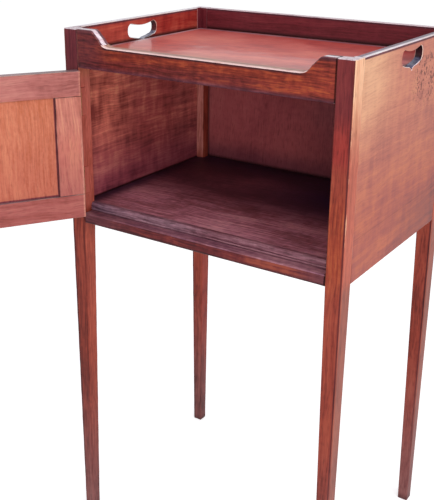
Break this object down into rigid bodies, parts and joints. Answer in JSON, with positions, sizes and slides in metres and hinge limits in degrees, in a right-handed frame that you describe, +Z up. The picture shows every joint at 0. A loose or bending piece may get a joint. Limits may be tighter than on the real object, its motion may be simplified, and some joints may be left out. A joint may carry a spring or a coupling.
{
  "type": "bedside pot cupboard",
  "caption": "Bedside pot cupboard on slender tapered legs, with a tray top with pierced hand-holds, a shaped front rail and a panelled side-hung door with a turn catch.",
  "frame": {"origin": "on the floor, midway between the four feet", "axes": "+Z up; the front with the door faces -Y and the back faces +Y; +X to the right of someone facing the front"},
  "size_m": [0.5827, 0.6223, 0.73],
  "materials": {
    "leg_mahogany": "french polished",
    "rail_mahogany": "french polished",
    "side_mahogany": "french polished, faded",
    "back_mahogany": "thin old finish",
    "tray_mahogany": "french polished",
    "floor_mahogany": "french polished",
    "door_mahogany": "french polished",
    "panel_mahogany": "french polished",
    "bearer_pine": "bare, aged",
    "iron": "dull",
    "brass": "aged, rubbed"
  },
  "bodies": {
    "cupboard": {"leg_front_left": "leg_mahogany", "leg_front_right": "leg_mahogany", "leg_back_left": "leg_mahogany", "leg_back_right": "leg_mahogany", "side_board_left": "side_mahogany", "side_board_right": "side_mahogany", "gallery_board_back": "rail_mahogany", "back_panel": "back_mahogany", "front_top_rail": "rail_mahogany", "front_bottom_rail": "rail_mahogany", "back_bottom_rail": "bearer_pine", "tray_board": "tray_mahogany", "tray_bearer_left": "bearer_pine", "tray_bearer_right": "bearer_pine", "tray_bearer_front": "bearer_pine", "floor_board": "floor_mahogany", "floor_lip": "floor_mahogany", "floor_bearer_left": "bearer_pine", "floor_bearer_right": "bearer_pine", "bearer_screws": "iron", "back_nails": "iron", "hinge_leg_leaf_top": "brass", "hinge_leg_leaf_bottom": "brass", "hinge_pin_top": "brass", "hinge_pin_bottom": "brass", "leg_leaf_screws": "brass"},
    "door": {"door_top_rail": "door_mahogany", "door_bottom_rail": "door_mahogany", "door_hinge_stile": "door_mahogany", "door_lock_stile": "door_mahogany", "door_panel": "panel_mahogany", "hinge_door_leaf_top": "brass", "hinge_door_leaf_bottom": "brass", "door_leaf_screws": "brass", "knob_rose": "brass", "rose_pins": "brass"},
    "catch": {"knob": "brass", "catch_spindle": "brass", "catch_arm": "brass", "catch_nut": "brass"}
  },
  "joints": [
    {"name": "door_hinge", "type": "hinge", "parent": "cupboard", "child": "door", "pos_m": [-0.1805, -0.1552, 0.58275], "axis": [0, 0, 1], "range_deg": [-48, 122]},
    {"name": "catch_turn", "type": "hinge", "parent": "door", "child": "catch", "pos_m": [-0.36024, -0.44794, 0.58275], "axis": [0.848, -0.5299, 0], "range_deg": [0, 90]}
  ]
}
